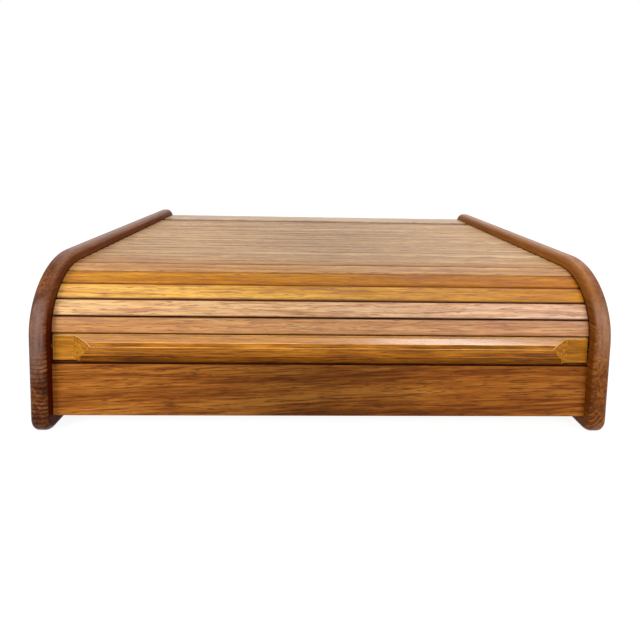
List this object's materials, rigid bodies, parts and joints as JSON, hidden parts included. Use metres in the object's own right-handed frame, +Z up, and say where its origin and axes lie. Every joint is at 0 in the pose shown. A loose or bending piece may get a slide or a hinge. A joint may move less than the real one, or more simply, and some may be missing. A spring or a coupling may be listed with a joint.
{
  "type": "tambour lid box",
  "caption": "Low wooden box for papers with two rounded cheeks, a front board and a slatted tambour lid that runs back over the top.",
  "frame": {"origin": "on the table, below the middle of the box", "axes": "+X to the right, +Y to the back, +Z up; the box is seen from the front with its curtain shut"},
  "size_m": [0.332, 0.2652, 0.099],
  "materials": {
    "left_cheek": "satin lacquer",
    "right_cheek": "satin lacquer",
    "board": "satin lacquer",
    "lead_rail": "satin lacquer",
    "slat": "satin lacquer",
    "inner_panel": "satin lacquer",
    "dowel": "satin lacquer",
    "canvas": "plain weave"
  },
  "bodies": {
    "box": {"left_cheek": "left_cheek", "right_cheek": "right_cheek", "front_board": "board", "back_board": "board", "inner_back": "inner_panel", "base_panel": "inner_panel", "rear_rail": "slat", "front_dowels": "dowel", "back_dowels": "dowel", "rear_rail_dowels": "dowel"},
    "curtain_top": {"slat_06": "slat", "slat_07": "slat", "slat_08": "slat", "slat_09": "slat", "slat_10": "slat", "slat_11": "slat", "slat_12": "slat", "slat_13": "slat", "slat_14": "slat", "slat_15": "slat", "slat_16": "slat", "slat_17": "slat", "slat_18": "slat", "slat_19": "slat", "canvas_top": "canvas"},
    "rail": {"lead_rail": "lead_rail", "canvas_rail": "canvas"},
    "curtain_01": {"slat_01": "slat", "canvas_01": "canvas"},
    "curtain_02": {"slat_02": "slat", "canvas_02": "canvas"},
    "curtain_03": {"slat_03": "slat", "canvas_03": "canvas"},
    "curtain_04": {"slat_04": "slat", "canvas_04": "canvas"},
    "curtain_05": {"slat_05": "slat", "canvas_05": "canvas"},
    "curtain_20": {"slat_20": "slat", "canvas_20": "canvas"},
    "curtain_21": {"slat_21": "slat", "canvas_21": "canvas"},
    "curtain_22": {"slat_22": "slat", "canvas_22": "canvas"},
    "curtain_23": {"slat_23": "slat", "canvas_23": "canvas"},
    "curtain_24": {"slat_24": "slat", "canvas_24": "canvas"},
    "curtain_25": {"slat_25": "slat", "canvas_25": "canvas"},
    "curtain_26": {"slat_26": "slat", "canvas_26": "canvas"}
  },
  "joints": [
    {"name": "curtain_slide", "type": "slide", "parent": "box", "child": "curtain_top", "axis": [0, 1, 0], "range_m": [0, 0.0475]},
    {"name": "rail_turn", "type": "hinge", "parent": "box", "child": "rail", "pos_m": [0, -0.08495, 0.05293], "axis": [-1, 0, 0], "range_deg": [0, 68.51]},
    {"name": "slat_01_turn", "type": "hinge", "parent": "box", "child": "curtain_01", "pos_m": [0, -0.08997, 0.05635], "axis": [-1, 0, 0], "range_deg": [0, 80.05]},
    {"name": "slat_02_turn", "type": "hinge", "parent": "box", "child": "curtain_02", "pos_m": [0, -0.08522, 0.04875], "axis": [-1, 0, 0], "range_deg": [0, 64.04]},
    {"name": "slat_03_turn", "type": "hinge", "parent": "box", "child": "curtain_03", "pos_m": [0, -0.08048, 0.03503], "axis": [-1, 0, 0], "range_deg": [0, 48.03]},
    {"name": "slat_04_turn", "type": "hinge", "parent": "box", "child": "curtain_04", "pos_m": [0, -0.07573, 0.00668], "axis": [-1, 0, 0], "range_deg": [0, 32.02]},
    {"name": "slat_05_turn", "type": "hinge", "parent": "box", "child": "curtain_05", "pos_m": [0, -0.07097, -0.07876], "axis": [-1, 0, 0], "range_deg": [0, 16.01]},
    {"name": "slat_20_turn", "type": "hinge", "parent": "box", "child": "curtain_20", "pos_m": [0, 0.06202, -0.07876], "axis": [-1, 0, 0], "range_deg": [0, 16.01]},
    {"name": "slat_21_turn", "type": "hinge", "parent": "box", "child": "curtain_21", "pos_m": [0, 0.06678, 0.00668], "axis": [-1, 0, 0], "range_deg": [0, 32.02]},
    {"name": "slat_22_turn", "type": "hinge", "parent": "box", "child": "curtain_22", "pos_m": [0, 0.07153, 0.03503], "axis": [-1, 0, 0], "range_deg": [0, 48.03]},
    {"name": "slat_23_turn", "type": "hinge", "parent": "box", "child": "curtain_23", "pos_m": [0, 0.07627, 0.04875], "axis": [-1, 0, 0], "range_deg": [0, 64.04]},
    {"name": "slat_24_turn", "type": "hinge", "parent": "box", "child": "curtain_24", "pos_m": [0, 0.08102, 0.05635], "axis": [-1, 0, 0], "range_deg": [0, 80.05]},
    {"name": "slat_25_turn", "type": "hinge", "parent": "box", "child": "curtain_25", "pos_m": [0, 0.07864, 0.05455], "axis": [-1, 0, 0], "range_deg": [0, 73.99]},
    {"name": "slat_26_turn", "type": "hinge", "parent": "box", "child": "curtain_26", "pos_m": [0, 0.06921, 0.0498], "axis": [-1, 0, 0], "range_deg": [0, 57.98]}
  ],
  "couplings": [
    {"joint": "rail_turn", "follows": "curtain_slide", "rad_per_m": 25.172},
    {"joint": "slat_01_turn", "follows": "curtain_slide", "rad_per_m": 29.412},
    {"joint": "slat_02_turn", "follows": "curtain_slide", "rad_per_m": 23.529},
    {"joint": "slat_03_turn", "follows": "curtain_slide", "rad_per_m": 17.647},
    {"joint": "slat_04_turn", "follows": "curtain_slide", "rad_per_m": 11.765},
    {"joint": "slat_05_turn", "follows": "curtain_slide", "rad_per_m": 5.8824},
    {"joint": "slat_20_turn", "follows": "curtain_slide", "rad_per_m": 5.8824},
    {"joint": "slat_21_turn", "follows": "curtain_slide", "rad_per_m": 11.765},
    {"joint": "slat_22_turn", "follows": "curtain_slide", "rad_per_m": 17.647},
    {"joint": "slat_23_turn", "follows": "curtain_slide", "rad_per_m": 23.529},
    {"joint": "slat_24_turn", "follows": "curtain_slide", "rad_per_m": 29.412},
    {"joint": "slat_25_turn", "follows": "curtain_slide", "rad_per_m": 27.187},
    {"joint": "slat_26_turn", "follows": "curtain_slide", "rad_per_m": 21.305}
  ]
}
